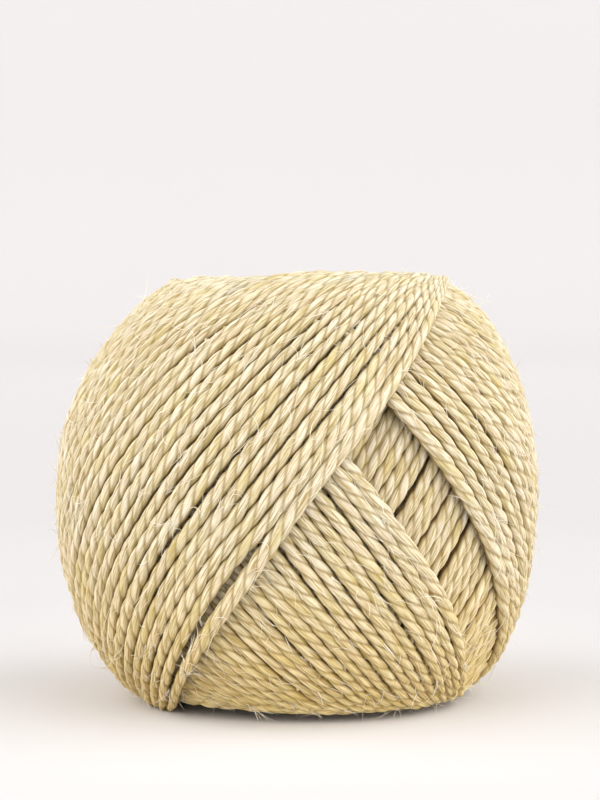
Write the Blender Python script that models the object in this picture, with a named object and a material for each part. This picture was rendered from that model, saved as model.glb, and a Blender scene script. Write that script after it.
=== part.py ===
# A ball of natural-fibre string, 90 mm across, wound in crossing bands with a hollow at each pole.
# One solid: a turned body with a rim round each hollow, and four bands of string laid over it.
# Each band is a thick sheet whose outside is ridged, one ridge for each strand.
# Metres, +Z up. The ball stands on its flat foot at z = 0, and the winding's axis is Z.
import math

import bmesh
import bpy

MM = 0.001

# Driving dimensions
EQUATOR_RADIUS = 45.9 * MM      # from the axis to the outer bands' crests
CENTRE_HEIGHT = 38.6 * MM       # the middle of the winding above the foot
TOP_SWELL = 1.3 * MM            # how far the upper shoulder stands outside a true sphere
FOOT_SWELL = 3.4 * MM           # the same for the lower shoulder, which has settled
LEAN = 1.1 * MM                 # the shoulders are fuller towards +X and slacker towards -X
SWELL_RATE = 1.8                # the swell is greatest at 90 / 1.8 = 50 degrees of latitude

# The strands' paths, in degrees
STRAND_STEP = 4.25              # from one strand to the next, round the equator
LOOP_TILT = 55.0                # of the newest loops, which are great circles
LAID_ANGLE = 52.5               # of older strands, which keep one angle to the level
CHORD_LATITUDE = 50.0           # past it, seen from above, each strand runs straight past the pole
FOOT_LATITUDE = -49.5
TOP_LATITUDE = 57.0
BAND_ROWS = 14

# The bands' sections
RIDGE_DEPTH = 0.9 * MM          # from a ridge's crest to the valley beside it, at the equator
RIM_DEPTH = 0.6                 # near the rims the strands crowd up, and bands lie this much as deep
INSET_TILT = 0.6                # depths point this share of the latitude away from level
BURIED_DEPTH = 12.0 * MM        # of the hidden inside of every band

# Name, way round, first and last strand's longitude at the equator, how deep those two lie in the
# ball, and how far they are great circles (1) or laid at one angle (0). Each later strand lies a
# little higher than the one before it, so that where two bands cross the newer one is on top.
BANDS = (
    ("under_rising", "rising", 1.0, 200.0, 5.2 * MM, 2.1 * MM, 0.3, 0.5),
    ("under_falling", "falling", -179.0, 20.0, 5.2 * MM, 2.1 * MM, 0.3, 0.5),
    ("outer_rising", "rising", -129.0, 3.0, 1.5 * MM, -0.4 * MM, 0.2, 0.7),
    ("outer_falling", "falling", 47.0, 179.0, 1.5 * MM, -0.4 * MM, 0.7, 0.2),
)

# The turned body under the bands: latitude, and height over the outer crests
BODY_ROWS = (
    (-50.3, -1.2 * MM),
    (-48.6, -1.6 * MM),
    (-47.0, -2.6 * MM),
    (-43.0, -7.0 * MM),
    (-30.0, -7.0 * MM),
    (-15.0, -7.0 * MM),
    (0.0, -7.0 * MM),
    (15.0, -7.0 * MM),
    (30.0, -7.0 * MM),
    (45.0, -7.0 * MM),
    (54.0, -4.0 * MM),
    (57.0, -1.7 * MM),
    (59.5, -0.9 * MM),
    (62.0, -1.2 * MM),
    (63.8, -2.0 * MM),
)
FOOT_OUTER = 29.0 * MM
FOOT_INNER = 20.6 * MM

# Each hollow is a funnel with a round floor. The strands that pass the pole make its wall's ridges,
# which swirl down it.
SWIRL_STRANDS = 32
SWIRL_TURN = 48.0
HOLLOW_ROWS = 4
HOLLOW_MOUTH = 19.4 * MM
HOLLOW_FLOOR = 8.0 * MM
HOLLOW_DEPTH = 15.0 * MM        # from the mouth to the edge of the floor
TOP_MOUTH_RISE = 39.9 * MM      # of the upper hollow's mouth over the centre
FOOT_MOUTH_RISE = 0.9 * MM      # of the lower hollow's mouth over the foot
FLOOR_DISH = 0.6 * MM
SWIRL_RELIEF = 0.9 * MM

STRING_COLOUR = (0.66, 0.54, 0.33)
STRING_ROUGHNESS = 0.9


def envelope(latitude, longitude):
    """Distance from the centre to the outer bands' crests, for a place given in degrees."""
    swell = TOP_SWELL if latitude > 0 else FOOT_SWELL
    rise = math.sin(math.radians(SWELL_RATE * latitude)) ** 2
    return EQUATOR_RADIUS + (swell + LEAN * math.sin(math.radians(longitude))) * rise


def strand_turn(latitude, share):
    """Longitude that a strand covers from the equator to a latitude, all in degrees."""
    lat = math.radians(min(abs(latitude), CHORD_LATITUDE))
    great = math.asin(math.tan(lat) / math.tan(math.radians(LOOP_TILT)))
    laid = math.log(math.tan(math.pi / 4 + lat / 2)) / math.tan(math.radians(LAID_ANGLE))
    turn = share * great + (1 - share) * laid
    if abs(latitude) > CHORD_LATITUDE:
        nearest = math.cos(lat) * math.sin(turn)
        turn = math.asin(min(1.0, nearest / math.cos(math.radians(latitude))))
    return math.copysign(math.degrees(turn), latitude)


def on_ball(latitude, longitude, depth):
    """A point inside the outer crests by a depth. Longitude 0 faces -Y, and 90 faces +X."""
    lat = math.radians(latitude)
    lon = math.radians(longitude)
    radius = envelope(latitude, longitude)
    level = radius * math.cos(lat) - depth * math.cos(INSET_TILT * lat)
    height = radius * math.sin(lat) - depth * math.sin(INSET_TILT * lat)
    return (level * math.sin(lon), -level * math.cos(lon), CENTRE_HEIGHT + height)


def crowding(latitude):
    """1 at middle latitudes, falling to RIM_DEPTH towards the rims."""
    away = min(1.0, max(0.0, (abs(latitude) - 25.0) / 30.0))
    return 1 - (1 - RIM_DEPTH) * away * away * (3 - 2 * away)


def grid_faces(rows, columns, start, closed):
    """Quads of a grid of points, row by row, running round to the first column if closed."""
    faces = []
    for row in range(rows - 1):
        for column in range(columns if closed else columns - 1):
            beside = (column + 1) % columns
            low = start + row * columns
            high = low + columns
            faces.append((low + column, low + beside, high + beside, high + column))
    return faces


def make_object(name, points, faces):
    """A closed mesh object of triangles with its faces pointing out."""
    mesh = bpy.data.meshes.new(name)
    mesh.from_pydata(points, [], faces)
    shape = bmesh.new()
    shape.from_mesh(mesh)
    bmesh.ops.triangulate(shape, faces=shape.faces[:])
    bmesh.ops.recalc_face_normals(shape, faces=shape.faces[:])
    shape.to_mesh(mesh)
    shape.free()
    made = bpy.data.objects.new(name, mesh)
    bpy.context.collection.objects.link(made)
    return made


def make_band(name, way, first, last, first_depth, last_depth, first_share, last_share):
    """A thick sheet of side-by-side strands, a column of points on each crest and in each valley."""
    strands = round((last - first) / STRAND_STEP) + 1
    step = (last - first) / (strands - 1)
    columns = 2 * strands + 1
    sense = 1 if way == "rising" else -1
    outside = []
    inside = []
    for row in range(BAND_ROWS):
        latitude = FOOT_LATITUDE + (TOP_LATITUDE - FOOT_LATITUDE) * row / (BAND_ROWS - 1)
        relief = RIDGE_DEPTH * min(1.0, 1.6 * math.cos(math.radians(latitude)) ** 2 - 0.2)
        for column in range(columns):
            place = (column - 1) / 2
            age = place / (strands - 1)
            share = first_share + (last_share - first_share) * age
            longitude = first + step * place + sense * strand_turn(latitude, share)
            depth = (first_depth + (last_depth - first_depth) * age) * crowding(latitude)
            if column % 2 == 0:
                depth += relief
            outside.append(on_ball(latitude, longitude, depth))
            inside.append(on_ball(latitude, longitude, BURIED_DEPTH))
    points = outside + inside
    buried = len(outside)
    faces = grid_faces(BAND_ROWS, columns, 0, False) + grid_faces(BAND_ROWS, columns, buried, False)
    top = (BAND_ROWS - 1) * columns
    for column in range(columns - 1):
        faces.append((column, column + 1, buried + column + 1, buried + column))
        faces.append((top + column, top + column + 1, buried + top + column + 1, buried + top + column))
    for row in range(BAND_ROWS - 1):
        for side in (row * columns, row * columns + columns - 1):
            faces.append((side, side + columns, buried + side + columns, buried + side))
    band = make_object(name, points, faces)
    band.hide_render = True
    band.display_type = "WIRE"
    return band


def round_ring(radius, height):
    """A level ring of points round the axis."""
    ring = []
    for side in range(2 * SWIRL_STRANDS):
        angle = math.pi * side / SWIRL_STRANDS
        ring.append((radius * math.sin(angle), -radius * math.cos(angle), height))
    return ring


def hollow_rings(mouth_height, inwards):
    """The rings of a hollow's wall from its mouth to its floor, every second column a valley."""
    rings = []
    for row in range(HOLLOW_ROWS):
        along = row / (HOLLOW_ROWS - 1)
        radius = HOLLOW_MOUTH + (HOLLOW_FLOOR - HOLLOW_MOUTH) * along
        relief = SWIRL_RELIEF * math.sin(math.pi * along)
        ring = []
        for side in range(2 * SWIRL_STRANDS):
            angle = math.pi * side / SWIRL_STRANDS + math.radians(SWIRL_TURN) * along
            across = radius + relief * (side % 2)
            height = mouth_height + inwards * HOLLOW_DEPTH * along
            ring.append((across * math.sin(angle), -across * math.cos(angle), height))
        rings.append(ring)
    return rings


def make_body():
    """The turned body: its foot, its side under the bands, its upper rim and both hollows."""
    rings = hollow_rings(FOOT_MOUTH_RISE, 1)
    rings.reverse()
    rings.append(round_ring(FOOT_INNER, 0.0))
    rings.append(round_ring(FOOT_OUTER, 0.0))
    for latitude, over in BODY_ROWS:
        sides = range(2 * SWIRL_STRANDS)
        rings.append([on_ball(latitude, 180 * side / SWIRL_STRANDS, -over) for side in sides])
    rings += hollow_rings(CENTRE_HEIGHT + TOP_MOUTH_RISE, -1)
    low = (0.0, 0.0, rings[0][0][2] + FLOOR_DISH)
    high = (0.0, 0.0, rings[-1][0][2] - FLOOR_DISH)
    points = [low]
    for ring in rings:
        points += ring
    points.append(high)
    sides = 2 * SWIRL_STRANDS
    faces = grid_faces(len(rings), sides, 1, True)
    last = len(points) - 1
    for side in range(sides):
        beside = (side + 1) % sides
        faces.append((0, 1 + beside, 1 + side))
        faces.append((last, last - sides + side, last - sides + beside))
    return make_object("string_ball", points, faces)


def string_material():
    """Undyed sisal-type fibre, pale straw and matt."""
    material = bpy.data.materials.new("undyed_fibre")
    material.use_nodes = True
    shader = material.node_tree.nodes["Principled BSDF"]
    shader.inputs["Base Color"].default_value = (*STRING_COLOUR, 1.0)
    shader.inputs["Roughness"].default_value = STRING_ROUGHNESS
    shader.inputs["Metallic"].default_value = 0.0
    return material


for old in list(bpy.data.objects):
    bpy.data.objects.remove(old, do_unlink=True)

ball = make_body()
ball.data.materials.append(string_material())
for row in BANDS:
    joined = ball.modifiers.new("with_" + row[0], "BOOLEAN")
    joined.operation = "UNION"
    joined.solver = "EXACT"
    joined.object = make_band(*row)
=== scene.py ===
import math

import bpy
import numpy as np
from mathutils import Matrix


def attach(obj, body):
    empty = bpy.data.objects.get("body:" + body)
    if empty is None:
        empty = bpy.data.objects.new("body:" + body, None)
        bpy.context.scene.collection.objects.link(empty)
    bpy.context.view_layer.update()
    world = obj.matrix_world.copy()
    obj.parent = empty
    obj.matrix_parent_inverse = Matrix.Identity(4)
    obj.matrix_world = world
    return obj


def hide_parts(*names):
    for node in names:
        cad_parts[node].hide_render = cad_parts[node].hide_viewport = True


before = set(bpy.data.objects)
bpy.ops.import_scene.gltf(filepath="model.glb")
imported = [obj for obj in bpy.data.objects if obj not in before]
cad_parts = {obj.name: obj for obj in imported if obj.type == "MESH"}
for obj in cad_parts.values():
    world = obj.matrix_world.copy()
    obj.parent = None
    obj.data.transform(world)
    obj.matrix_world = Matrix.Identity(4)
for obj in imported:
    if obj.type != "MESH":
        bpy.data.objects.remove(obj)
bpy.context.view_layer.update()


# The outer winding
# The newest 33 turns of one long length of undyed three-ply sisal twine. Each turn climbs one side
# of the ball, passes the upper hollow, comes down the far side and passes the lower hollow, and the
# next turn lies beside it. The end is tucked under.
MM = 0.001
# The ball: the height of its middle, its radius at the outer strands, how far its shoulders stand
# outside a sphere, and how much fuller they are on the right
MIDDLE_HEIGHT = 38.6 * MM
EQUATOR_RADIUS = 45.9 * MM
TOP_SWELL = 1.3 * MM
FOOT_SWELL = 3.4 * MM
LEAN = 1.1 * MM
SWELL_RATE = 1.8                # the swell is greatest at 90 / 1.8 = 50 degrees of latitude
# The turns: the tilt of a new loop, the angle to the level at which older string lies, the latitude
# past which a turn bends past the pole, and the degrees from one turn to the next
LOOP_TILT = math.radians(55.0)
LAID_ANGLE = math.radians(52.5)
CHORD_LATITUDE = 50.0
STRAND_STEP = 4.25
# How far a turn moves on as it climbs and as it comes down, as a share of that step
TURN_ADVANCE = 0.4
RISING_START = -0.2
FALLING_START = 0.3
SHARE_UNEVEN = 0.04
LATITUDE_STEPS = 70
POLE_PULL = 0.36                # how far a turn keeps its direction as it passes a pole
POLE_STEPS = 34
# Where the outside rounds over into the upper hollow, by distance from the axis, and how sharply
CREST_START = 25.0 * MM
CREST_RADIUS = 19.5 * MM
CREST_CURVE = 58.0
# The layers lie closer near the rims, and the foot is pressed flat
RIM_DEPTH = 0.6
SETTLING = 0.6 * MM
PRESSED = 0.9
FLOOR_GAP = 0.02 * MM
# The string: its radius, one full twist, and a ply's section in shares of the radius
STRING_RADIUS = 1.38 * MM
PLY_PITCH = 11.8 * MM
PLY_RADIUS = 0.71
PLY_OFFSET = 0.29
PLY_PLACES = (-60.0, -36.0, -12.0, 12.0, 36.0)
PLY_UNEVEN = 0.045
PLY_WAVES = ((7.3 * MM, 2.1), (11.9 * MM, 4.0))
RING_STEP = 1.07 * MM
# How far the fibres lean back from the ply's way to the string's, and how far apart in the pattern
# the three plies are
FIBRE_LEAN = 0.8
PLY_PATTERN_STEP = 37 * MM
# How deep a strand lies near a pole for each later turn over it, past the few that lie beside it.
# The turns are counted in square cells, and a strand covers those within a round patch.
OVERLAP_SINK = 0.28 * MM
SIDE_BY_SIDE = 3.0
MOST_SINK = 4.0 * MM
PILE_LATITUDE = 43.0
PILE_CELL = 0.5 * MM
PILE_CELLS = 70
PATCH_REACH = 2
PATCH_RADIUS_SQUARED = 7

# Phase of the first and last turn, how many turns, how deep those two lie, how far they are great
# circles in the lower and the upper half (the last value is how late that comes), and the
# unevenness of their places in degrees and of their depths
SWEEPS = (
    (2.5, 83.25, 20, 4.6 * MM, 3.7 * MM, 0.3, 0.35, 0.3, 0.35, 1, 0.35, 0.25 * MM),
    (87.5, 197.8, 28, 3.6 * MM, 2.1 * MM, 0.35, 0.35, 0.35, 0.35, 1, 0.25, 0.15 * MM),
    (222.8, 361.6, 33, 1.5 * MM, -0.4 * MM, 0.2, 0.7, 0.2, 1.05, 4, 0.18, 0.12 * MM),
)
OUTER_FIRST = 48
# Where the loose turns in the window leave a gap, and how wide, in degrees
WINDOW_GAPS = ((25.9, 1.5), (38.6, -0.9), (51.5, 2.3))
GAP_REACH = 9.0
# The last turns slope less than the others, and low on the side that faces the camera the last one
# stands off the one before it
LAST_REACH = 5.0
LAST_ASIDE = -2.4
LAST_STRETCH = 0.09
LAST_SHRINK = 0.07
LAST_LOW_SHARE = 0.25
LAST_HIGH_SHARE = 0.6
LAST_APART = 2.4
LAST_APART_REACH = 8.0
LAST_APART_FROM = -3.0
LAST_APART_TO = -50.0
# Where the rim of the upper hollow stands up: way round, how much, and over what angle
RIM_BUMPS = ((-92.0, 0.8 * MM, 28.0), (-137.0, 1.8 * MM, 28.0), (168.0, 1.3 * MM, 22.0))
RIM_BUMP_LEVELS = (34.0 * MM, 24.0 * MM)
# Strands with a neighbour on one side only keep their full width, and show more of their side, so their
# sides take less painted shade
FREE_TURNS = (47, 48, 80)
FREE_WIDTH = 1.04
FREE_BLEND = 0.03
FREE_SIDE = 0.45
PACKED_WIDTH = 0.92
CROWD_ROOM = 1.13
LEAST_WIDTH = 0.74
# How the string wanders: over what length, and how much
DEPTH_WANDER = (18 * MM, 0.07 * MM)
ASIDE_WANDER = (14 * MM, 0.16 * MM)
TWIST_WANDER = (25 * MM, 0.8 * MM)
THICKNESS_WANDER = (9 * MM, 0.05)
# A strand counts as buried from this depth on, and wholly so this much deeper. Buried string is painted
# darker, as painted shade.
BURIED_FROM = 3.5 * MM
BURIED_OVER = 4.0 * MM

chance = np.random.default_rng(41)


def envelope(latitude, longitude):
    """Distance from the middle of the ball to the outermost string, angles in degrees."""
    swell = np.where(latitude > 0, TOP_SWELL, FOOT_SWELL)
    rise = np.sin(np.radians(SWELL_RATE * latitude)) ** 2
    return EQUATOR_RADIUS + (swell + LEAN * np.sin(np.radians(longitude))) * rise


def strand_turn(latitude, share):
    """Longitude that a turn covers from the equator to a latitude, in degrees."""
    lat = np.radians(latitude)
    great = np.arcsin(np.clip(np.tan(lat) / math.tan(LOOP_TILT), -1, 1))
    laid = np.log(np.tan(math.pi / 4 + lat / 2)) / math.tan(LAID_ANGLE)
    return np.degrees(share * great + (1 - share) * laid)


def crowding(latitude):
    """1 at middle latitudes, falling to RIM_DEPTH towards the rims."""
    away = np.clip((np.abs(latitude) - 25.0) / 30.0, 0, 1)
    return 1 - (1 - RIM_DEPTH) * away * away * (3 - 2 * away)


def latitude_at(level, longitude, guess):
    """Latitude where the envelope is that far from the axis."""
    latitude = np.full_like(level, guess)
    for _ in range(12):
        ratio = np.clip(level / envelope(latitude, longitude), 0, 1)
        latitude = math.copysign(1.0, guess) * np.degrees(np.arccos(ratio))
    return latitude


def crest_points(latitude, longitude, level):
    """Places on the ball's outside and the outward direction there. Beyond the upper shoulder the
    outside rounds over into the hollow, and at the foot it settles flat."""
    lat = np.radians(latitude)
    lon = np.radians(longitude)
    height = envelope(latitude, longitude) * np.sin(lat)
    tilt = lat.copy()
    shoulder = latitude_at(np.full_like(level, CREST_START), longitude, 55.0)
    base = envelope(shoulder, longitude) * np.sin(np.radians(shoulder))
    rounded = base + CREST_CURVE * ((CREST_START - CREST_RADIUS) ** 2 - (level - CREST_RADIUS) ** 2)
    inside = (level < CREST_START) & (latitude > 0)
    height = np.where(inside, rounded, height)
    for way, rise, width in RIM_BUMPS:
        aside = (longitude - way + 180) % 360 - 180
        near = np.clip((RIM_BUMP_LEVELS[0] - level) / (RIM_BUMP_LEVELS[0] - RIM_BUMP_LEVELS[1]), 0, 1)
        near = np.where(latitude > 0, near * near * (3 - 2 * near), 0)
        height = height + rise * near * np.exp(-(aside / width) ** 2)
    tilt = np.where(inside, np.arctan2(1.0, 2 * CREST_CURVE * (level - CREST_RADIUS)), tilt)
    over_foot = height + MIDDLE_HEIGHT
    settled = SETTLING * np.exp(np.minimum(over_foot - SETTLING, 0) / SETTLING)
    flat = 1 - np.where(over_foot < SETTLING, settled / SETTLING, 1.0)
    height = np.where(over_foot < SETTLING, settled - MIDDLE_HEIGHT, height)
    tilt = tilt - (tilt + math.pi / 2) * flat
    surface = np.stack([level * np.sin(lon), -level * np.cos(lon), height + MIDDLE_HEIGHT], 1)
    outward = np.stack([np.cos(tilt) * np.sin(lon), -np.cos(tilt) * np.cos(lon), np.sin(tilt)], 1)
    return surface, outward


def pass_pole(before, after, guess):
    """The plan curve from one strand's end to the next one's start, past a pole."""
    start = before[-1, :2]
    end = after[0, :2]
    reach = POLE_PULL * np.linalg.norm(end - start)
    leaving = before[-1, :2] - before[-2, :2]
    arriving = after[1, :2] - after[0, :2]
    first = start + reach * leaving / np.linalg.norm(leaving)
    second = end - reach * arriving / np.linalg.norm(arriving)
    t = np.linspace(0, 1, POLE_STEPS)[1:-1, None]
    plan = (1 - t) ** 3 * start + 3 * (1 - t) ** 2 * t * first
    plan = plan + 3 * (1 - t) * t * t * second + t ** 3 * end
    level = np.hypot(plan[:, 0], plan[:, 1])
    longitude = np.degrees(np.arctan2(plan[:, 0], -plan[:, 1]))
    latitude = latitude_at(level, longitude, guess)
    return latitude, longitude, level


def smooth(values, spread):
    """Running average along the string, with a bell of that many rings."""
    reach = int(3 * spread) + 1
    kernel = np.exp(-0.5 * (np.arange(-reach, reach + 1) / spread) ** 2)
    kernel /= kernel.sum()
    if values.ndim == 2:
        return np.stack([smooth(values[:, axis], spread) for axis in range(values.shape[1])], 1)
    padded = np.concatenate([np.repeat(values[:1], reach), values, np.repeat(values[-1:], reach)])
    return np.convolve(padded, kernel, "valid")


def wander(count, wavelength, size):
    """Slow random change along the string."""
    knots = int(count * RING_STEP / wavelength) + 4
    return np.interp(np.linspace(0, knots - 1, count), np.arange(knots), chance.normal(0, size, knots))


def wind_string():
    """The whole path from the first turn to the last, ring by ring."""
    nodes, depths, low_shares, high_shares = [], [], [], []
    for first, last, turns, deep, high, low_a, low_b, top_a, top_b, lateness, stray, uneven in SWEEPS:
        age = np.linspace(0, 1, turns)
        nodes.append(first + (last - first) * age + chance.uniform(-stray, stray, turns))
        depths.append(deep + (high - deep) * age + chance.normal(0, uneven, turns))
        uneven_share = chance.normal(0, SHARE_UNEVEN, turns)
        low_shares.append(low_a + (low_b - low_a) * age + uneven_share)
        high_shares.append(top_a + (top_b - top_a) * age ** lateness + uneven_share)
    nodes, depths, low_shares, high_shares = (
        np.concatenate(values) for values in (nodes, depths, low_shares, high_shares)
    )
    for place, wide in WINDOW_GAPS:
        aside = nodes - place
        nodes = nodes + np.sign(aside) * 0.5 * wide * np.exp(-np.abs(aside) / GAP_REACH)
    latitudes = np.linspace(-CHORD_LATITUDE, CHORD_LATITUDE, LATITUDE_STEPS)
    along = np.linspace(0, 1, LATITUDE_STEPS)
    surfaces, outwards, numbers, lats = [], [], [], []

    def lay(latitude, longitude, level, number):
        surface, outward = crest_points(latitude, longitude, level)
        surfaces.append(surface)
        outwards.append(outward)
        numbers.append(np.full(len(level), number))
        lats.append(latitude)

    def both_halves(low_share, high_share):
        below = strand_turn(latitudes, low_share)
        return np.where(latitudes < 0, below, strand_turn(latitudes, high_share))

    low = np.clip((latitudes - LAST_APART_FROM) / (LAST_APART_TO - LAST_APART_FROM), 0, 1)
    apart = LAST_APART * np.sin(math.pi * low ** 0.7)
    for k in range(len(nodes)):
        turn = both_halves(low_shares[k], high_shares[k])
        late = math.exp((k + 1 - len(nodes)) / LAST_REACH)
        low_share = low_shares[k] + late * (LAST_LOW_SHARE - low_shares[k])
        high_share = high_shares[k] + late * (LAST_HIGH_SHARE - high_shares[k])
        climb = both_halves(low_share, high_share)
        climb = climb * (1 + late * np.where(latitudes < 0, -LAST_SHRINK, LAST_STRETCH))
        moved_on = STRAND_STEP * (TURN_ADVANCE * along + RISING_START)
        rising = nodes[k] + LAST_ASIDE * late + moved_on + climb
        if k < len(nodes) - 1:
            rising = rising - apart * math.exp((k + 2 - len(nodes)) / LAST_APART_REACH)
        moved_on = STRAND_STEP * (TURN_ADVANCE * along + FALLING_START)
        falling = nodes[k] + moved_on + 180.0 - turn[::-1]
        for latitude, longitude, guess in ((latitudes, rising, -52.0), (latitudes[::-1], falling, 55.0)):
            level = envelope(latitude, longitude) * np.cos(np.radians(latitude))
            if surfaces:
                following = crest_points(latitude[:2], longitude[:2], level[:2])[0]
                lay(*pass_pole(surfaces[-1], following, guess), k)
            lay(latitude, longitude, level, k)
    surface, outward, number, latitude = (np.concatenate(v) for v in (surfaces, outwards, numbers, lats))
    run = np.concatenate([[0], np.cumsum(np.linalg.norm(np.diff(surface, axis=0), axis=1))])
    places = np.arange(0, run[-1], RING_STEP)
    surface = smooth(np.stack([np.interp(places, run, surface[:, axis]) for axis in range(3)], 1), 1.5)
    outward = smooth(np.stack([np.interp(places, run, outward[:, axis]) for axis in range(3)], 1), 2.0)
    number = number[np.searchsorted(run, places)]
    latitude = np.interp(places, run, latitude)
    return surface, outward, number, latitude, depths


def pile_depth(surface, number, latitude):
    """How deep each place lies because later turns pass over it near the poles."""
    patch = range(-PATCH_REACH, PATCH_REACH + 1)
    sink = np.zeros(len(number))
    for pole in (1, -1):
        over = np.zeros((2 * PILE_CELLS + 1, 2 * PILE_CELLS + 1))
        near = latitude * pole > PILE_LATITUDE
        for k in range(int(number[-1]), -1, -1):
            chosen = np.nonzero(near & (number == k))[0]
            cells = np.rint(surface[chosen, :2] / PILE_CELL).astype(int) + PILE_CELLS
            column, row = np.clip(cells, PATCH_REACH, 2 * PILE_CELLS - PATCH_REACH).T
            sink[chosen] = over[column, row]
            mask = np.zeros_like(over)
            for aside in patch:
                for ahead in patch:
                    if aside * aside + ahead * ahead < PATCH_RADIUS_SQUARED:
                        mask[column + aside, row + ahead] = 1
            over += mask
    sink = np.maximum(sink - SIDE_BY_SIDE, 0)
    return np.minimum(smooth(sink, 3.0) * OVERLAP_SINK, MOST_SINK)


def strand_width(latitude, level):
    """Share of its width that a strand keeps where the strands crowd towards the rims."""
    lat = np.radians(np.clip(latitude, -CHORD_LATITUDE, CHORD_LATITUDE))
    lean = np.clip(np.cos(LOOP_TILT) / np.cos(lat), 0, 1)
    slope = np.sqrt(1 - lean ** 2)
    return np.clip(CROWD_ROOM * level / EQUATOR_RADIUS * slope / math.sin(LOOP_TILT), LEAST_WIDTH, 1.0)


def make_mesh(name, points, faces, corner_counts, corner_uv=None, values=None):
    """A mesh object at the origin from arrays of points, corners and corners per face."""
    mesh = bpy.data.meshes.new(name)
    mesh.vertices.add(len(points))
    mesh.vertices.foreach_set("co", points.astype(np.float32).ravel())
    mesh.loops.add(len(faces))
    mesh.loops.foreach_set("vertex_index", faces.astype(np.int32))
    mesh.polygons.add(len(corner_counts))
    starts = np.concatenate([[0], np.cumsum(corner_counts)[:-1]])
    mesh.polygons.foreach_set("loop_start", starts.astype(np.int32))
    mesh.polygons.foreach_set("loop_total", corner_counts.astype(np.int32))
    mesh.polygons.foreach_set("use_smooth", corner_counts == 4)
    if corner_uv is not None:
        layer = mesh.uv_layers.new(name="along_string")
        layer.data.foreach_set("uv", corner_uv.astype(np.float32).ravel())
    for key in values or {}:
        attribute = mesh.attributes.new(key, "FLOAT", "POINT")
        attribute.data.foreach_set("value", values[key].astype(np.float32))
    mesh.update(calc_edges=True)
    mesh.validate()
    made = bpy.data.objects.new(name, mesh)
    bpy.context.collection.objects.link(made)
    return made


def make_string(name, centre, outward, run, thickness, width, buried):
    """A closed tube of three plies laid up left-handed round the middle line."""
    tangent = np.gradient(centre, axis=0)
    tangent /= np.linalg.norm(tangent, axis=1)[:, None]
    normal = outward - (outward * tangent).sum(1)[:, None] * tangent
    normal /= np.linalg.norm(normal, axis=1)[:, None]
    beside = np.cross(tangent, normal)
    local = np.radians(np.array(PLY_PLACES))
    lobe = PLY_OFFSET * np.cos(local) + np.sqrt(PLY_RADIUS ** 2 - (PLY_OFFSET * np.sin(local)) ** 2)
    sides = 3 * len(local)
    lobe = np.tile(lobe, 3)
    around = np.concatenate([local + math.radians(120.0 * ply) for ply in range(3)])
    rings = len(centre)
    angle = around[None, :] - 2 * math.pi * run[:, None] / PLY_PITCH
    ply = np.repeat(np.arange(3), len(local))
    swing = sum(np.sin(2 * math.pi * run[:, None] / wave + phase * ply) for wave, phase in PLY_WAVES)
    radius = STRING_RADIUS * thickness[:, None] * lobe[None, :] * (1 + PLY_UNEVEN * swing)
    out = (np.cos(angle) * radius / np.sqrt(width)[:, None])[:, :, None] * normal[:, None, :]
    side = (np.sin(angle) * radius * width[:, None])[:, :, None] * beside[:, None, :]
    points = centre[:, None, :] + out + side
    points[:, :, 2] = np.maximum(points[:, :, 2], FLOOR_GAP)
    points = np.concatenate([points.reshape(-1, 3), centre[:1], centre[-1:]])
    ring, place = np.meshgrid(np.arange(rings - 1), np.arange(sides), indexing="ij")
    low = ring * sides
    high = low + sides
    beyond = (place + 1) % sides
    quads = np.stack([low + place, low + beyond, high + beyond, high + place], 2).reshape(-1)
    first = np.arange(sides)
    after = (first + 1) % sides
    start_cap = np.stack([np.full(sides, rings * sides), after, first], 1).reshape(-1)
    last = (rings - 1) * sides
    end_cap = np.stack([np.full(sides, rings * sides + 1), last + first, last + after], 1).reshape(-1)
    faces = np.concatenate([quads, start_cap, end_cap])
    counts = np.concatenate([np.full((rings - 1) * sides, 4), np.full(2 * sides, 3)])
    girth = 2 * math.pi * STRING_RADIUS
    corners = []
    for aside, ahead in ((0, 0), (1, 0), (1, 1), (0, 1)):
        length = run[ring + ahead]
        across = (place + aside) * girth / sides - FIBRE_LEAN * length * girth / PLY_PITCH
        corners.append(np.stack([across, length + PLY_PATTERN_STEP * (place // len(local))], 2))
    uv = np.stack(corners, 2).reshape(-1, 2)
    uv = np.concatenate([uv, np.zeros((6 * sides, 2))])
    crease = np.tile((lobe.max() - lobe) / (lobe.max() - lobe.min()), rings)
    free = np.clip((width - 1.0) / FREE_BLEND, 0, 1)
    facing = (np.cos(angle) + FREE_SIDE * free[:, None]).reshape(-1)
    # These values place the painted shade in the twine's colour: between the plies, on sides turned away,
    # and on buried string
    values = {
        "crease": np.concatenate([crease, [1, 1]]),
        "facing": np.concatenate([facing, [-1, -1]]),
        "buried": np.concatenate([np.repeat(buried, sides), [1, 1]]),
    }
    return make_mesh(name, points, faces, counts, uv, values)


def linear(code):
    """An sRGB hex colour as the linear values that a shader takes."""
    parts = [int(code[i:i + 2], 16) / 255 for i in (0, 2, 4)]
    return tuple(p / 12.92 if p <= 0.04045 else ((p + 0.055) / 1.055) ** 2.4 for p in parts) + (1.0,)


def add_node(tree, kind, inputs=None, **settings):
    """Adds a node with its settings. Each input takes a value, or a socket to link from."""
    node = tree.nodes.new(kind)
    for key, value in settings.items():
        setattr(node, key, value)
    for key, value in (inputs or {}).items():
        if isinstance(value, bpy.types.NodeSocket):
            tree.links.new(value, node.inputs[key])
        else:
            node.inputs[key].default_value = value
    return node


# The patterns that the fibres make along the string: width, length, detail and roughness. A fibre
# shows for about 5 mm before it dives into the ply. Bundles of them are wider and longer, and the
# fibre's own colour drifts over some 20 mm.
FIBRE_PATTERN = (0.3 * MM, 5 * MM, 3.0, 0.6)
BUNDLE_PATTERN = (0.8 * MM, 9 * MM, 2.0, 0.5)
DRIFT_PATTERN = (9 * MM, 22 * MM, 2.0, 0.5)
LOOSE_END_SIZE = 0.7 * MM
FIBRE_RELIEF = 0.26 * MM
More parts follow.
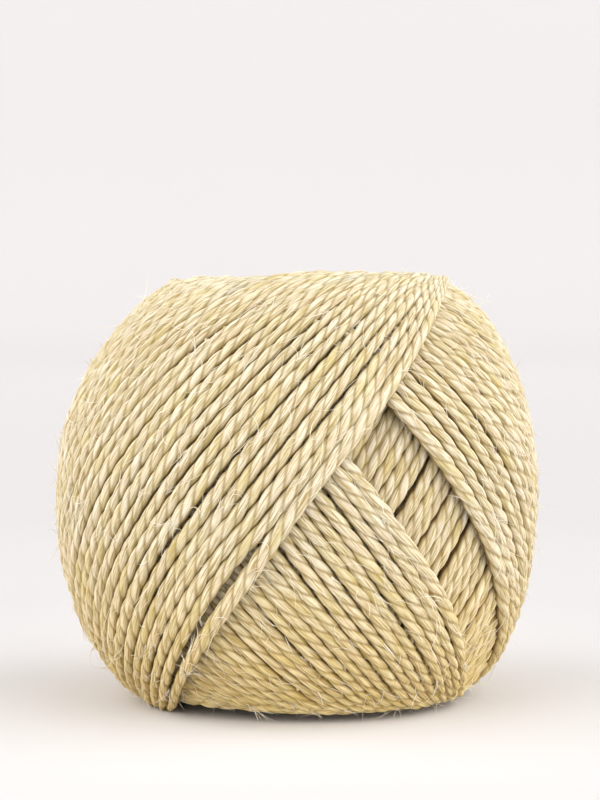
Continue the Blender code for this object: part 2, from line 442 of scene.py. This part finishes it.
# Strands nearer to the axis than the first of these have free sides, and past the second none has; this sets
# how much painted shade the sides take
FREE_ROUND_AXIS = (25 * MM, 29 * MM)
# Painted shade at the foot: the heights over which it grows, and the tint that the colour is multiplied by
FOOT_SHADE_HEIGHTS = (34 * MM, 2 * MM)
FOOT_SHADE_TINT = (0.95, 0.84, 0.54, 1.0)


def sisal_material(name, crest_colour, deep_colour):
    """Sisal: hard leaf fibre, combed, spun and laid up undyed. It has a low sheen along the fibres and pale
    straw to cream streaks.
    Brown shade between the plies, on the strands' sides, between the strands, on buried string and at the
    foot is painted into the colour."""
    material = bpy.data.materials.new(name)
    material.use_nodes = True
    tree = material.node_tree
    shader = tree.nodes["Principled BSDF"]
    shader.inputs["Roughness"].default_value = 0.72
    shader.inputs["IOR"].default_value = 1.45
    shader.inputs["Specular IOR Level"].default_value = 0.35
    shader.inputs["Sheen Weight"].default_value = 0.35
    shader.inputs["Sheen Roughness"].default_value = 0.4
    shader.inputs["Sheen Tint"].default_value = linear("F3E3B8")
    shader.inputs["Subsurface Weight"].default_value = 0.3
    shader.inputs["Subsurface Radius"].default_value = (1.0, 0.7, 0.42)
    shader.inputs["Subsurface Scale"].default_value = 1.2 * MM
    string_uv = add_node(tree, "ShaderNodeUVMap", uv_map="along_string").outputs["UV"]
    place = add_node(tree, "ShaderNodeTexCoord").outputs["Object"]
    crease, facing, buried = (
        add_node(tree, "ShaderNodeAttribute", attribute_name=key).outputs["Fac"]
        for key in ("crease", "facing", "buried")
    )
    patterns = []
    for wide, long, detail, roughness in (FIBRE_PATTERN, BUNDLE_PATTERN, DRIFT_PATTERN):
        laid = add_node(
            tree, "ShaderNodeMapping", {"Vector": string_uv, "Scale": (1 / wide, 1 / long, 1)}
        ).outputs["Vector"]
        noise = {"Vector": laid, "Scale": 1.0, "Detail": detail, "Roughness": roughness}
        patterns.append(add_node(tree, "ShaderNodeTexNoise", noise).outputs["Fac"])
    fibres, bundles, drift = patterns

    # Painted shade: brown is painted between the plies, with an uneven edge where bundles of fibres bridge
    # it
    painted_ply_shade = add_node(
        tree, "ShaderNodeMath", {0: bundles, 1: 0.9, 2: crease}, operation="MULTIPLY_ADD"
    ).outputs[0]
    # Painted shade: dark brown is painted where a strand's sides lie against its neighbours, less round the
    # hollows, where they stand free
    level = add_node(tree, "ShaderNodeVectorMath", {0: place, 1: (1, 1, 0)}, operation="MULTIPLY").outputs[0]
    off_axis = add_node(tree, "ShaderNodeVectorMath", {0: level}, operation="LENGTH").outputs["Value"]
    shut_in = add_node(tree, "ShaderNodeMapRange", {
        "Value": off_axis, "From Min": FREE_ROUND_AXIS[0], "From Max": FREE_ROUND_AXIS[1],
        "To Min": 0.35, "To Max": 0.95,
    }).outputs[0]
    turned_away = add_node(
        tree, "ShaderNodeMapRange", {"Value": facing, "From Min": 0.45, "From Max": 0.05}
    ).outputs[0]
    tucked_shade = add_node(tree, "ShaderNodeMath", {0: turned_away, 1: shut_in}, operation="MULTIPLY").outputs[0]
    layers = (
        # what brings the colour, where it starts, where it is full, how much of it then, the colour
        (fibres, 0.38, 0.6, 1.0, crest_colour),
        (bundles, 0.5, 0.72, 1.0, "EAE2CE"),
        (drift, 0.5, 0.7, 0.5, "C9B873"),
        (drift, 0.5, 0.32, 0.28, "DAC3A3"),
        # painted shade between the plies
        (painted_ply_shade, 0.85, 1.5, 0.75, "92783A"),
        # painted shade on the parts of a strand turned away from the outside
        (facing, 0.85, 0.3, 0.6, "AF995A"),
        # painted shade where a strand lies against its neighbours
        (tucked_shade, 0.0, 1.0, 1.0, "5E4012"),
        # painted shade on string that lies deep under the rest
        (buried, 0.0, 1.0, 0.4, "94753A"),
    )
    colour = linear(deep_colour)
    for source, start, full, most, code in layers:
        share = add_node(
            tree, "ShaderNodeMapRange",
            {"Value": source, "From Min": start, "From Max": full, "To Max": most}
        ).outputs[0]
        colour = add_node(
            tree, "ShaderNodeMix", {0: share, 6: colour, 7: linear(code)}, data_type="RGBA"
        ).outputs[2]
    # Painted shade: the colour is darkened and browned towards the foot of the ball
    height = add_node(tree, "ShaderNodeSeparateXYZ", {"Vector": place}).outputs["Z"]
    low = add_node(tree, "ShaderNodeMapRange", {
        "Value": height, "From Min": FOOT_SHADE_HEIGHTS[0], "From Max": FOOT_SHADE_HEIGHTS[1],
    }).outputs[0]
    colour = add_node(
        tree, "ShaderNodeMix", {0: low, 6: colour, 7: FOOT_SHADE_TINT}, data_type="RGBA", blend_type="MULTIPLY"
    ).outputs[2]
    tree.links.new(colour, shader.inputs["Base Color"])

    # Fibres, bundles and loose fibre ends stand out of the surface
    loose_ends = add_node(
        tree, "ShaderNodeTexNoise", {"Vector": place, "Scale": 1 / LOOSE_END_SIZE, "Detail": 2.0}
    ).outputs["Fac"]
    relief = add_node(tree, "ShaderNodeMath", {0: fibres, 1: 0.8}, operation="MULTIPLY").outputs[0]
    for pattern, much in ((bundles, 0.9), (loose_ends, 0.15)):
        relief = add_node(
            tree, "ShaderNodeMath", {0: pattern, 1: much, 2: relief}, operation="MULTIPLY_ADD"
        ).outputs[0]
    bump = add_node(
        tree, "ShaderNodeBump", {"Height": relief, "Strength": 1.0, "Distance": FIBRE_RELIEF}
    ).outputs["Normal"]
    tree.links.new(bump, shader.inputs["Normal"])
    return material


surface, outward, number, latitude, turn_depths = wind_string()
rings = len(number)
depth = turn_depths[number.astype(int)]
depth = smooth(depth * crowding(latitude), 6.0) + pile_depth(surface, number, latitude)
depth += smooth(wander(rings, *DEPTH_WANDER), 3.0)
centre = surface - outward * (depth + STRING_RADIUS)[:, None]
side_way = np.cross(np.gradient(surface, axis=0), outward)
side_way /= np.linalg.norm(side_way, axis=1)[:, None]
centre += side_way * smooth(wander(rings, *ASIDE_WANDER), 3.0)[:, None]
centre[:, 2] = np.maximum(centre[:, 2], PRESSED * STRING_RADIUS)
run = np.arange(rings) * RING_STEP + wander(rings, *TWIST_WANDER)
thickness = 1.0 + smooth(wander(rings, *THICKNESS_WANDER), 2.0)
packed = np.where(np.isin(number, FREE_TURNS), FREE_WIDTH, PACKED_WIDTH)
width = smooth(packed * strand_width(latitude, np.hypot(surface[:, 0], surface[:, 1])), 3.0)
buried = np.clip((depth - BURIED_FROM) / BURIED_OVER, 0, 1)

twine = sisal_material("undyed_sisal_twine", "E5DDC8", "A69158")


def make_winding(name, first, last):
    """The turns from one number up to another, as one piece."""
    begin = np.searchsorted(number, first)
    end = min(np.searchsorted(number, last) + 1, rings)
    part = slice(begin, end)
    rows = (values[part] for values in (centre, outward, run, thickness, width, buried))
    piece = make_string(name, *rows)
    piece.data.materials.append(twine)
    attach(piece, "root")
    return piece


# It is in two pieces, to keep each one's mesh small
OUTER_MIDDLE = OUTER_FIRST + 17
OUTER_END = OUTER_FIRST + 33

newest = make_winding("outer_winding_newest", OUTER_MIDDLE, OUTER_END)
make_winding("outer_winding_first", OUTER_FIRST, OUTER_MIDDLE)
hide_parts("string_ball")


# The winding under it
# The 48 turns before those, of the same string. They show between the newer turns, below the left
# band and in the two open windows, where the winding jumped ahead and left gaps.
UNDER_PARTS = (0, 16, 32, 48)

for part, (first, last) in enumerate(zip(UNDER_PARTS, UNDER_PARTS[1:])):
    make_winding(f"under_winding_{part + 1}", first, last)


# The deep strands in the windows
# Still older string, crossing under the loose turns that show in the two windows.
DEEP_DEPTH = 7.4 * MM
DEEP_UNEVEN = 0.2 * MM
DEEP_REACH = 44.0
DEEP_STEPS = 54
DEEP_SHARE = 0.3
# How much of the buried string's painted shade the deep strands take
DEEP_BURIED = 0.8
DEEP_COUNT = 12
# Where the strands in each window start, in degrees round the ball, and which way they cross
DEEP_WINDOWS = ((10.0, -1), (198.0, 1))
# How far along its twist a strand may start
TWIST_START = 0.05

chance = np.random.default_rng(7)


def make_deep_strand(name, node, sense):
    """One strand across a window, its ends buried under the bands beside it."""
    latitudes = np.linspace(-DEEP_REACH, DEEP_REACH, DEEP_STEPS)
    longitudes = node + sense * strand_turn(latitudes, DEEP_SHARE)
    level = envelope(latitudes, longitudes) * np.cos(np.radians(latitudes))
    surface, outward = crest_points(latitudes, longitudes, level)
    deep = DEEP_DEPTH + chance.normal(0, DEEP_UNEVEN)
    centre = surface - outward * (deep + STRING_RADIUS)
    run = np.concatenate([[0], np.cumsum(np.linalg.norm(np.diff(centre, axis=0), axis=1))])
    run = run + chance.uniform(0, TWIST_START)
    even = np.ones(DEEP_STEPS)
    return make_string(name, centre, outward, run, even, even, DEEP_BURIED * even)


def join_pieces(name, pieces):
    """Joins mesh pieces into one object."""
    bpy.ops.object.select_all(action="DESELECT")
    for piece in pieces:
        piece.select_set(True)
    bpy.context.view_layer.objects.active = pieces[0]
    bpy.ops.object.join()
    joined = bpy.context.object
    joined.name = name
    joined.data.name = name
    return joined


deep_strands = []
for start, sense in DEEP_WINDOWS:
    for k in range(DEEP_COUNT):
        deep_strands.append(make_deep_strand(f"deep_{len(deep_strands)}", start + STRAND_STEP * k, sense))
deep_piece = join_pieces("deep_strands", deep_strands)
deep_piece.data.materials.append(twine)
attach(deep_piece, "root")


# The strands round the hollows
# Each hollow is a funnel left by the older turns as they pass the pole. Every layer down passes
# nearer to the middle, and at the floor the first turns cross.
HOLLOW_LEVELS = (
    # nearest pass to the axis and depth below the rim, in millimetres, and how many strands
    (23.2, 3.4, 26), (22.0, 3.6, 24), (20.5, 4.2, 22), (18.8, 5.4, 22), (17.0, 6.8, 20),
    (15.2, 8.4, 20), (13.4, 10.0, 18), (11.6, 11.8, 16), (9.6, 13.4, 14), (7.2, 14.6, 12),
    (4.8, 15.2, 10), (2.4, 15.8, 8), (0.2, 16.4, 5),
)
HOLLOW_RADIUS = 24.0            # millimetres from the axis to the strands' ends
HOLLOW_REACH = 16.0             # and the most from a strand's middle to its ends
HOLLOW_SLOPE = 0.10
HOLLOW_FACING = (0.6, 0.8)      # how far the wall faces the axis and the mouth
UPPER_RIM = MIDDLE_HEIGHT + 41.0 * MM
# Unevenness of the strands' angles in radians, and of their places and heights
ANGLE_UNEVEN = 0.05
PASS_UNEVEN = 0.3
HEIGHT_UNEVEN = 0.2
CHORD_BOW = 0.6 * MM
CHORD_STEP = 2.2 * MM
# How much of the buried string's painted shade the hollow strands take
CHORD_BURIED = 0.15


def make_chord(name, angle, near, height, reach, pole):
    """One nearly straight strand past the axis at a height, its leading end a little higher."""
    steps = max(8, int(2 * reach / CHORD_STEP))
    along = np.linspace(-reach, reach, steps)
    passing = near + CHORD_BOW * (along / reach) ** 2
    x = passing * math.cos(angle) - along * math.sin(angle)
    y = passing * math.sin(angle) + along * math.cos(angle)
    centre = np.stack([x, y, height - pole * HOLLOW_SLOPE * along], 1)
    way_round = np.arctan2(y, x)
    inward, mouthward = HOLLOW_FACING
    outward = np.stack([
        -inward * np.cos(way_round), -inward * np.sin(way_round), np.full(steps, mouthward * pole),
    ], 1)
    run = along + chance.uniform(0, TWIST_START)
    even = np.ones(steps)
    return make_string(name, centre, outward, run, even, even, CHORD_BURIED * even)


for pole, rim in ((1, UPPER_RIM), (-1, 0.0)):
    chords = []
    for near, below, count in HOLLOW_LEVELS:
        reach = min(math.sqrt(HOLLOW_RADIUS ** 2 - near ** 2), HOLLOW_REACH) * MM
        height = rim - pole * (below * MM + STRING_RADIUS)
        turned = chance.uniform(0, 2 * math.pi)
        for k in range(count):
            angle = turned + 2 * math.pi * k / count + chance.uniform(-ANGLE_UNEVEN, ANGLE_UNEVEN)
            passing = near * MM + chance.uniform(-PASS_UNEVEN, PASS_UNEVEN) * MM
            height_here = height + chance.uniform(-HEIGHT_UNEVEN, HEIGHT_UNEVEN) * MM
            chords.append(make_chord(f"chord_{len(chords)}", angle, passing, height_here, reach, pole))
    hollow = join_pieces("upper_hollow_strands" if pole > 0 else "lower_hollow_strands", chords)
    hollow.data.materials.append(twine)
    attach(hollow, "root")


# The core
# The first layers of the same string, wound into a tight ball that the rest lies on. It shows only
# as shade between the strands.
CORE_OUTLINE = (
    # distance from the axis and height over the foot, in millimetres, from the lower floor up
    (0.0, 19.0), (8.0, 18.4), (13.0, 11.0), (19.0, 6.0), (25.0, 5.2), (29.0, 9.0), (34.5, 20.0),
    (36.4, 38.6), (34.0, 55.0), (29.0, 65.0), (25.0, 71.0), (19.5, 72.0), (13.0, 67.0), (8.0, 61.5),
    (0.0, 61.0),
)
CORE_STEPS = 48
MERGE_DISTANCE = 0.00005
SHADE_SIZE = 2.5 * MM

bpy.ops.object.select_all(action="DESELECT")
outline = bpy.data.meshes.new("core")
outline_points = [(x * MM, 0.0, z * MM) for x, z in CORE_OUTLINE]
outline_edges = [(k, k + 1) for k in range(len(CORE_OUTLINE) - 1)]
outline.from_pydata(outline_points, outline_edges, [])
core = bpy.data.objects.new("core", outline)
bpy.context.collection.objects.link(core)
bpy.context.view_layer.objects.active = core
core.select_set(True)
bpy.ops.object.mode_set(mode="EDIT")
bpy.ops.mesh.select_all(action="SELECT")
bpy.ops.mesh.spin(steps=CORE_STEPS, angle=2 * math.pi, center=(0, 0, 0), axis=(0, 0, 1))
bpy.ops.mesh.select_all(action="SELECT")
bpy.ops.mesh.remove_doubles(threshold=MERGE_DISTANCE)
bpy.ops.mesh.normals_make_consistent(inside=False)
bpy.ops.object.mode_set(mode="OBJECT")
bpy.ops.object.shade_smooth()

# Packed sisal where little light comes, painted dull brown as painted shade, a little mottled
shaded = bpy.data.materials.new("packed_sisal_in_shade")
shaded.use_nodes = True
shaded_tree = shaded.node_tree
shaded_place = add_node(shaded_tree, "ShaderNodeTexCoord").outputs["Object"]
mottle = add_node(
    shaded_tree, "ShaderNodeTexNoise", {"Vector": shaded_place, "Scale": 1 / SHADE_SIZE}
).outputs["Fac"]
mottled = add_node(
    shaded_tree, "ShaderNodeMix", {0: mottle, 6: linear("5E3F17"), 7: linear("8C642A")}, data_type="RGBA"
).outputs[2]
shaded_tree.links.new(mottled, shaded_tree.nodes["Principled BSDF"].inputs["Base Color"])
shaded_tree.nodes["Principled BSDF"].inputs["Roughness"].default_value = 0.9
core.data.materials.append(shaded)
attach(core, "root")


# The stray fibres
# Ends of single sisal fibres that work loose from the string and stand off it, 2 to 9 mm long and
# about a tenth of a millimetre thick. Some stand in tufts.
FIBRE_COUNT = 4200
TUFT_SHARE = 0.4
FIBRE_STEPS = 4
FIBRE_SIDES = 3
SHORT_SHARE = 0.88
# Lengths and radii in millimetres
SHORT_LENGTHS = (2, 5)
LONG_LENGTHS = (5, 9)
FIBRE_RADII = (0.04, 0.085)
FIBRE_TAPER = 0.75
FIBRE_FLOOR_GAP = 0.03 * MM
# They grow where the string shows, but not from its two ends
SHOWN_DEPTH = 3.6 * MM
SHOWN_LATITUDE = 52
END_RINGS = 20
ROOT_LEVEL = 0.93
# How far round the string a fibre grows and how far that changes in a tuft, its lift off the string
# in degrees, its swerve and its curl
SPIN_SPREAD = 0.55
TUFT_SPREAD = 0.3
MOST_SPIN = 0.95
LEAST_LIFT = 3
LIFT_SPREAD = 9
SWERVE_SPREAD = 0.9
CURL_MEAN = 0.12
CURL_SPREAD = 0.3

chance = np.random.default_rng(19)
shown = np.nonzero((depth < SHOWN_DEPTH) & (np.abs(latitude) < SHOWN_LATITUDE))[0]
shown = shown[(shown > END_RINGS) & (shown < rings - END_RINGS)]
roots = chance.choice(shown, FIBRE_COUNT)
fibre_points, fibre_faces, fibre_counts = [], [], []
root, spin, sense = roots[0], 0.0, 1
for fresh in roots:
    if chance.random() < TUFT_SHARE:
        spin += chance.normal(0, TUFT_SPREAD)
    else:
        root, spin, sense = fresh, chance.normal(0, SPIN_SPREAD), chance.choice((-1, 1))
    tangent = centre[root + 1] - centre[root - 1]
    tangent = tangent / np.linalg.norm(tangent) * sense
    normal = outward[root] / np.linalg.norm(outward[root])
    beside = np.cross(tangent, normal)
    spin = max(-MOST_SPIN, min(MOST_SPIN, spin))
    away = normal * math.cos(spin) + beside * math.sin(spin)
    lengths = SHORT_LENGTHS if chance.random() < SHORT_SHARE else LONG_LENGTHS
    length = chance.uniform(*lengths) * MM
    lift = math.radians(LEAST_LIFT + abs(chance.normal(0, LIFT_SPREAD)))
    swerve = chance.normal(0, SWERVE_SPREAD)
    curl = chance.normal(CURL_MEAN, CURL_SPREAD)
    thick = chance.uniform(*FIBRE_RADII) * MM
    here = centre[root] + away * STRING_RADIUS * ROOT_LEVEL
    start = len(fibre_points)
    for step in range(FIBRE_STEPS + 1):
        share = step / FIBRE_STEPS
        rise = lift - curl * share
        way = tangent * math.cos(rise) * math.cos(swerve * share) + away * math.sin(rise)
        way = way + np.cross(tangent, away) * math.sin(swerve * share)
        if step:
            here = here + way * length / FIBRE_STEPS
        across = np.cross(way, away)
        across /= np.linalg.norm(across)
        upward = np.cross(across, way)
        upward /= np.linalg.norm(upward)
        size = thick * (1 - FIBRE_TAPER * share ** 2)
        for corner in range(FIBRE_SIDES):
            turned = 2 * math.pi * corner / FIBRE_SIDES
            point = here + across * size * math.cos(turned) + upward * size * math.sin(turned)
            point[2] = max(point[2], FIBRE_FLOOR_GAP)
            fibre_points.append(point)
    for step in range(FIBRE_STEPS):
        for corner in range(FIBRE_SIDES):
            low = start + FIBRE_SIDES * step
            high = low + FIBRE_SIDES
            after = (corner + 1) % FIBRE_SIDES
            fibre_faces += [low + corner, high + corner, high + after, low + after]
            fibre_counts.append(4)
    fibre_faces += [start, start + 1, start + 2]
    last = start + FIBRE_SIDES * FIBRE_STEPS
    fibre_faces += [last, last + 2, last + 1]
    fibre_counts += [3, 3]

fibres = make_mesh("stray_fibres", np.array(fibre_points), np.array(fibre_faces), np.array(fibre_counts))
bpy.ops.object.select_all(action="DESELECT")
fibres.select_set(True)
bpy.context.view_layer.objects.active = fibres
bpy.ops.object.mode_set(mode="EDIT")
bpy.ops.mesh.select_all(action="SELECT")
bpy.ops.mesh.normals_make_consistent(inside=False)
bpy.ops.object.mode_set(mode="OBJECT")

# Single sisal fibre: cream and smoother than the string, so it catches the light, and painted paler than its
# own cream as a painted highlight
loose = bpy.data.materials.new("loose_sisal_fibre")
loose.use_nodes = True
loose_tree = loose.node_tree
loose_shader = loose_tree.nodes["Principled BSDF"]
loose_place = add_node(loose_tree, "ShaderNodeTexCoord").outputs["Object"]
tint = add_node(
    loose_tree, "ShaderNodeTexNoise", {"Vector": loose_place, "Scale": 1 / (6 * MM)}
).outputs["Fac"]
tinted = add_node(
    loose_tree, "ShaderNodeMix", {0: tint, 6: linear("E6D6B0"), 7: linear("FFFAF0")}, data_type="RGBA"
).outputs[2]
loose_tree.links.new(tinted, loose_shader.inputs["Base Color"])
loose_shader.inputs["Roughness"].default_value = 0.45
fibres.data.materials.append(loose)
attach(fibres, "root")


# The floor and the light
# A plain white paper sweep, lit by two low and very soft lights from the left and the right, in
# surroundings that are white all round and dimmer overhead.
FLOOR_SIZE = 4.0
FLOOR_AHEAD = 0.9
WALL_HEIGHT = 3.0
SWEEP_RADIUS = 0.9
BACK_EDGE = 1.9                 # only the floor's back edge lies past this, in its own coordinates

bpy.ops.mesh.primitive_plane_add(size=FLOOR_SIZE, location=(0, FLOOR_AHEAD, 0))
floor = bpy.context.object
floor.name = "studio_floor"
bpy.ops.object.mode_set(mode="EDIT")
bpy.ops.mesh.select_all(action="DESELECT")
bpy.ops.object.mode_set(mode="OBJECT")
for edge in floor.data.edges:
    ends = [floor.data.vertices[index].co.y for index in edge.vertices]
    edge.select = min(ends) > BACK_EDGE
bpy.ops.object.mode_set(mode="EDIT")
bpy.ops.mesh.select_mode(type="EDGE")
bpy.ops.mesh.extrude_region_move(TRANSFORM_OT_translate={"value": (0, 0, WALL_HEIGHT)})
bpy.ops.object.mode_set(mode="OBJECT")
for edge in floor.data.edges:
    ends = [floor.data.vertices[index].co for index in edge.vertices]
    edge.select = all(end.y > BACK_EDGE and end.z < 0.1 for end in ends)
bpy.ops.object.mode_set(mode="EDIT")
bpy.ops.mesh.bevel(offset=SWEEP_RADIUS, segments=16, affect="EDGES")
bpy.ops.object.mode_set(mode="OBJECT")
bpy.ops.object.transform_apply(location=True, rotation=True, scale=True)
bpy.ops.object.shade_smooth()

# White paper, matt. Its tone is painted light: paler near the ball, to lift the shadow that the ball casts
# there, and greyer away from the ball and up the wall, where the lights reach it more fully.
paper = bpy.data.materials.new("white_paper")
paper.use_nodes = True
paper_tree = paper.node_tree
paper_place = add_node(paper_tree, "ShaderNodeTexCoord").outputs["Object"]
paper_reach = add_node(
    paper_tree, "ShaderNodeVectorMath", {0: paper_place}, operation="LENGTH"
).outputs["Value"]
paper_height = add_node(paper_tree, "ShaderNodeSeparateXYZ", {"Vector": paper_place}).outputs["Z"]
paper_tone = linear("DCDADB")
for measured, start, full, change, code in (
    # what is measured, where the change starts and ends in metres, how it goes, the tone it ends in
    (paper_reach, 0.04, 0.16, "SMOOTHSTEP", "CECCCD"),
    (paper_reach, 0.08, 0.35, "LINEAR", "C4C2C3"),
    (paper_height, 0.0, 0.3, "LINEAR", "BDBBBD"),
):
    share = add_node(
        paper_tree, "ShaderNodeMapRange", {"Value": measured, "From Min": start, "From Max": full},
        interpolation_type=change
    ).outputs[0]
    paper_tone = add_node(
        paper_tree, "ShaderNodeMix", {0: share, 6: paper_tone, 7: linear(code)}, data_type="RGBA"
    ).outputs[2]
paper_tree.links.new(paper_tone, paper_tree.nodes["Principled BSDF"].inputs["Base Color"])
paper_tree.nodes["Principled BSDF"].inputs["Roughness"].default_value = 0.95
floor.data.materials.append(paper)

LIGHT_SPREAD = math.radians(110.0)
LIGHTS = (
    # name, direction that it comes from, watts a square metre, colour
    ("left_light", (-0.90, -0.33, 0.18), 3.8, "FFFCF8"),
    ("right_light", (0.92, -0.28, 0.18), 4.4, "FFFDFA"),
)
for name, place, watts, tone in LIGHTS:
    bpy.ops.object.light_add(type="SUN", location=place)
    light = bpy.context.object
    light.name = name
    light.data.angle = LIGHT_SPREAD
    light.data.energy = watts
    light.data.color = linear(tone)[:3]
    level = math.hypot(place[0], place[1])
    light.rotation_euler = (math.atan2(level, place[2]), 0, math.atan2(place[0], -place[1]))

world = bpy.data.worlds.new("soft_surround")
world.use_nodes = True
bpy.context.scene.world = world
surround = world.node_tree
background = surround.nodes["Background"]
background.inputs["Color"].default_value = (1.0, 0.995, 0.99, 1.0)
looking = add_node(surround, "ShaderNodeTexCoord").outputs["Generated"]
upward = add_node(surround, "ShaderNodeSeparateXYZ", {"Vector": looking}).outputs["Z"]
brightness = add_node(
    surround, "ShaderNodeMapRange",
    {"Value": upward, "From Min": 0.1, "From Max": 0.8, "To Min": 1.02, "To Max": 0.5}
).outputs[0]
surround.links.new(brightness, background.inputs["Strength"])
bpy.context.scene.view_settings.view_transform = "Standard"


# The camera
# A long lens from close by and a little above the ball's middle. The ball stands low in the frame.
VIEW_DISTANCE = 0.45
VIEW_ELEVATION = math.radians(5.0)
LENS = 108.0
SENSOR = 36.0
FRAME_SIZE = (600.0, 800.0)
BALL_PIXEL = (297.0, 490.0)

pixels_per_slope = LENS / SENSOR * FRAME_SIZE[1]
drop = math.atan((BALL_PIXEL[1] - FRAME_SIZE[1] / 2) / pixels_per_slope)
aside = math.atan((FRAME_SIZE[0] / 2 - BALL_PIXEL[0]) / pixels_per_slope)
away = VIEW_DISTANCE * math.cos(VIEW_ELEVATION)
above = VIEW_DISTANCE * math.sin(VIEW_ELEVATION)
bpy.ops.object.camera_add(
    location=(0.0, -away, MIDDLE_HEIGHT + above), rotation=(math.pi / 2 - VIEW_ELEVATION + drop, 0.0, -aside)
)
camera = bpy.context.object
camera.name = "shot_camera"
camera.data.lens = LENS
camera.data.sensor_width = SENSOR
camera.data.clip_start = 0.01
bpy.context.scene.camera = camera
